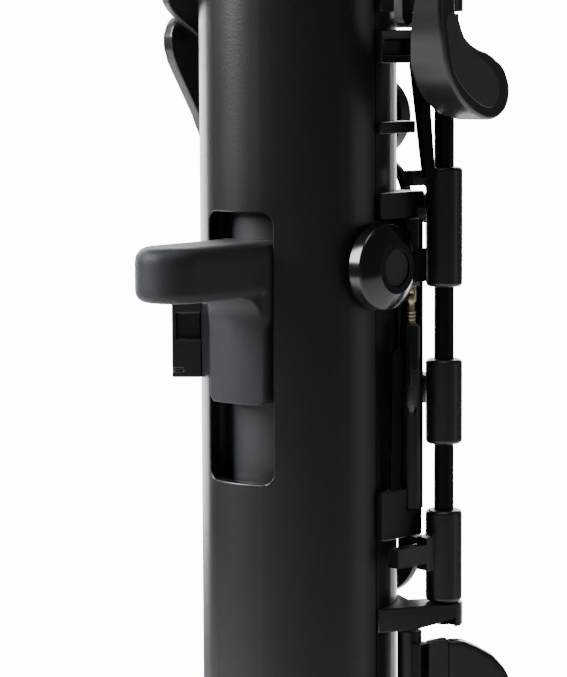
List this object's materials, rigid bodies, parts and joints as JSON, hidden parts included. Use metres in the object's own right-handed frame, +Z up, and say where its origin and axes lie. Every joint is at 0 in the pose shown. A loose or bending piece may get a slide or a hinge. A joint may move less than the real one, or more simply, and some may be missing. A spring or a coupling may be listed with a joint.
{
  "type": "clarinet",
  "caption": "Moulded plastic clarinet standing on its bell, with sprung ring keys and levers, padded side keys and a sliding thumb rest.",
  "frame": {"origin": "centre of the bell rim on the bore axis", "axes": "+Z up the bore to the mouthpiece, -Y towards the thumb side, +X to the player's right"},
  "size_m": [0.058, 0.061, 0.588],
  "materials": {
    "bright_rods": "drawn steel",
    "dark_rods": "blackened steel",
    "inner_tube": "dull grey moulded plastic",
    "key_cups": "polished moulded ABS",
    "ligature": "nickel plate",
    "moulded_body": "satin moulded ABS with a fine grain",
    "moulded_keys": "satin moulded ABS",
    "mouthpiece": "polished hard plastic",
    "pads": "black silicone",
    "reed": "cane",
    "screws": "nickel-worn brass",
    "soft_touch": "soft-touch silicone",
    "springs": "blued spring steel"
  },
  "bodies": {
    "instrument": {"bell": "moulded_body", "barrel": "moulded_body", "mouthpiece": "mouthpiece", "reed": "reed", "ligature": "ligature", "joint_seals": "pads", "front_shell": "moulded_body", "back_shell": "moulded_body", "bore_tube": "inner_tube", "tone_hole_chimneys": "moulded_body", "register_tube": "screws", "right_posts": "moulded_body", "left_posts": "moulded_body", "back_posts": "moulded_body", "front_posts": "moulded_body", "hinge_rods": "bright_rods", "pivot_screws": "screws", "leaf_springs": "springs"},
    "thumb_rest": {"thumb_rest": "soft_touch"},
    "ligature_screw_low": {"ligature_screw_low": "screws"},
    "ligature_screw_high": {"ligature_screw_high": "screws"},
    "register_key": {"register_key": "moulded_keys", "register_pad": "pads"},
    "thumb_ring_key": {"thumb_ring_key": "moulded_keys"},
    "throat_a_key": {"throat_a_key": "moulded_keys", "throat_a_pad": "pads"},
    "throat_g_sharp_key": {"throat_g_sharp_key": "moulded_keys", "throat_g_sharp_pad": "pads"},
    "side_key_low": {"side_key_low": "moulded_keys", "side_key_low_inlay": "soft_touch", "side_key_low_pad": "pads"},
    "side_key_high": {"side_key_high": "moulded_keys", "side_key_high_pad": "pads"},
    "upper_stack": {"upper_stack_rod": "dark_rods", "lh2_ring_key": "moulded_keys", "lh3_ring_key": "moulded_keys", "upper_vent_pad": "pads"},
    "c_sharp_key": {"c_sharp_key": "moulded_keys", "c_sharp_pad": "pads"},
    "lower_stack": {"lower_stack_rod": "dark_rods", "rh1_ring_key": "moulded_keys", "rh2_ring_key": "moulded_keys", "rh3_ring_key": "moulded_keys", "lower_vent_key": "moulded_keys", "lower_vent_pad": "pads"},
    "sliver_key": {"sliver_cup_key": "key_cups", "sliver_touch_key": "moulded_keys", "sliver_pad": "pads"},
    "f_sharp_lever": {"f_sharp_lever": "moulded_keys"},
    "f_sharp_key": {"f_sharp_key": "moulded_keys", "f_sharp_pad": "pads"},
    "e_b_key": {"e_b_key": "moulded_keys", "e_b_pad": "pads"},
    "f_c_key": {"f_c_key": "moulded_keys", "f_c_pad": "pads"},
    "a_flat_key": {"a_flat_key": "moulded_keys", "a_flat_pad": "pads"}
  },
  "joints": [
    {"name": "thumb_rest_slide", "type": "slide", "parent": "instrument", "child": "thumb_rest", "axis": [0, 0, 1], "range_m": [-0.0108, 0.0036]},
    {"name": "ligature_screw_low_turn", "type": "hinge", "parent": "instrument", "child": "ligature_screw_low", "pos_m": [0, -0.0148, 0.541], "axis": [1, 0, 0], "continuous": true},
    {"name": "ligature_screw_high_turn", "type": "hinge", "parent": "instrument", "child": "ligature_screw_high", "pos_m": [0, -0.0148, 0.553], "axis": [1, 0, 0], "continuous": true},
    {"name": "register_key_pivot", "type": "hinge", "parent": "instrument", "child": "register_key", "pos_m": [0, -0.0176, 0.434], "axis": [1, 0, 0], "range_deg": [0, 6], "stiffness_Nm_per_rad": 0.012, "springref_deg": -17.19},
    {"name": "thumb_ring_hinge", "type": "hinge", "parent": "instrument", "child": "thumb_ring_key", "pos_m": [0.01492, -0.01007, 0.41], "axis": [0, 0, 1], "range_deg": [-4, 0], "stiffness_Nm_per_rad": 0.012, "springref_deg": 20.05},
    {"name": "throat_a_pivot", "type": "hinge", "parent": "instrument", "child": "throat_a_key", "pos_m": [0, 0.0176, 0.432], "axis": [-1, 0, 0], "range_deg": [0, 6], "stiffness_Nm_per_rad": 0.012, "springref_deg": -17.19},
    {"name": "throat_g_sharp_pivot", "type": "hinge", "parent": "instrument", "child": "throat_g_sharp_key", "pos_m": [-0.01131, 0.01348, 0.425], "axis": [-0.766, -0.6428, 0], "range_deg": [0, 6], "stiffness_Nm_per_rad": 0.012, "springref_deg": -17.19},
    {"name": "side_key_low_pivot", "type": "hinge", "parent": "instrument", "child": "side_key_low", "pos_m": [0.01708, 0.00426, 0.34], "axis": [-0.2419, 0.9703, 0], "range_deg": [0, 1.4], "stiffness_Nm_per_rad": 0.05, "springref_deg": -8.59},
    {"name": "side_key_high_pivot", "type": "hinge", "parent": "instrument", "child": "side_key_high", "pos_m": [0.01722, -0.00366, 0.332], "axis": [0.2079, 0.9781, 0], "range_deg": [0, 3], "stiffness_Nm_per_rad": 0.03, "springref_deg": -11.46},
    {"name": "upper_stack_hinge", "type": "hinge", "parent": "instrument", "child": "upper_stack", "pos_m": [0.0175, 0.0113, 0.37], "axis": [0, 0, 1], "range_deg": [0, 4], "stiffness_Nm_per_rad": 0.012, "springref_deg": -20.05},
    {"name": "c_sharp_hinge", "type": "hinge", "parent": "instrument", "child": "c_sharp_key", "pos_m": [-0.0144, 0.0078, 0.329], "axis": [0, 0, 1], "range_deg": [0, 8], "stiffness_Nm_per_rad": 0.012, "springref_deg": -20.05},
    {"name": "lower_stack_hinge", "type": "hinge", "parent": "instrument", "child": "lower_stack", "pos_m": [0.0175, 0.0113, 0.263], "axis": [0, 0, 1], "range_deg": [0, 4], "stiffness_Nm_per_rad": 0.012, "springref_deg": -20.05},
    {"name": "sliver_key_hinge", "type": "hinge", "parent": "instrument", "child": "sliver_key", "pos_m": [0.0144, 0.0078, 0.259], "axis": [0, 0, 1], "range_deg": [0, 8], "stiffness_Nm_per_rad": 0.012, "springref_deg": -20.05},
    {"name": "f_sharp_lever_hinge", "type": "hinge", "parent": "instrument", "child": "f_sharp_lever", "pos_m": [-0.0174, 0.0111, 0.239], "axis": [0, 0, 1], "range_deg": [0, 4.5], "stiffness_Nm_per_rad": 0.012, "springref_deg": -20.05},
    {"name": "f_sharp_key_hinge", "type": "hinge", "parent": "instrument", "child": "f_sharp_key", "pos_m": [-0.0093, 0.0156, 0.182], "axis": [0, 0, 1], "range_deg": [-4.5, 0], "stiffness_Nm_per_rad": 0.006, "springref_deg": 20.05},
    {"name": "e_b_hinge", "type": "hinge", "parent": "instrument", "child": "e_b_key", "pos_m": [0.0156, 0.0059, 0.154], "axis": [0, 0, 1], "range_deg": [0, 5], "stiffness_Nm_per_rad": 0.012, "springref_deg": -20.05},
    {"name": "f_c_hinge", "type": "hinge", "parent": "instrument", "child": "f_c_key", "pos_m": [0.0175, 0.0113, 0.173], "axis": [0, 0, 1], "range_deg": [0, 5], "stiffness_Nm_per_rad": 0.012, "springref_deg": -20.05},
    {"name": "a_flat_hinge", "type": "hinge", "parent": "instrument", "child": "a_flat_key", "pos_m": [0.0156, 0.0059, 0.21], "axis": [0, 0, 1], "range_deg": [-8, 0], "stiffness_Nm_per_rad": 0.012, "springref_deg": 20.05}
  ],
  "couplings": [
    {"joint": "f_sharp_key_hinge", "follows": "f_sharp_lever_hinge", "ratio": -1}
  ]
}
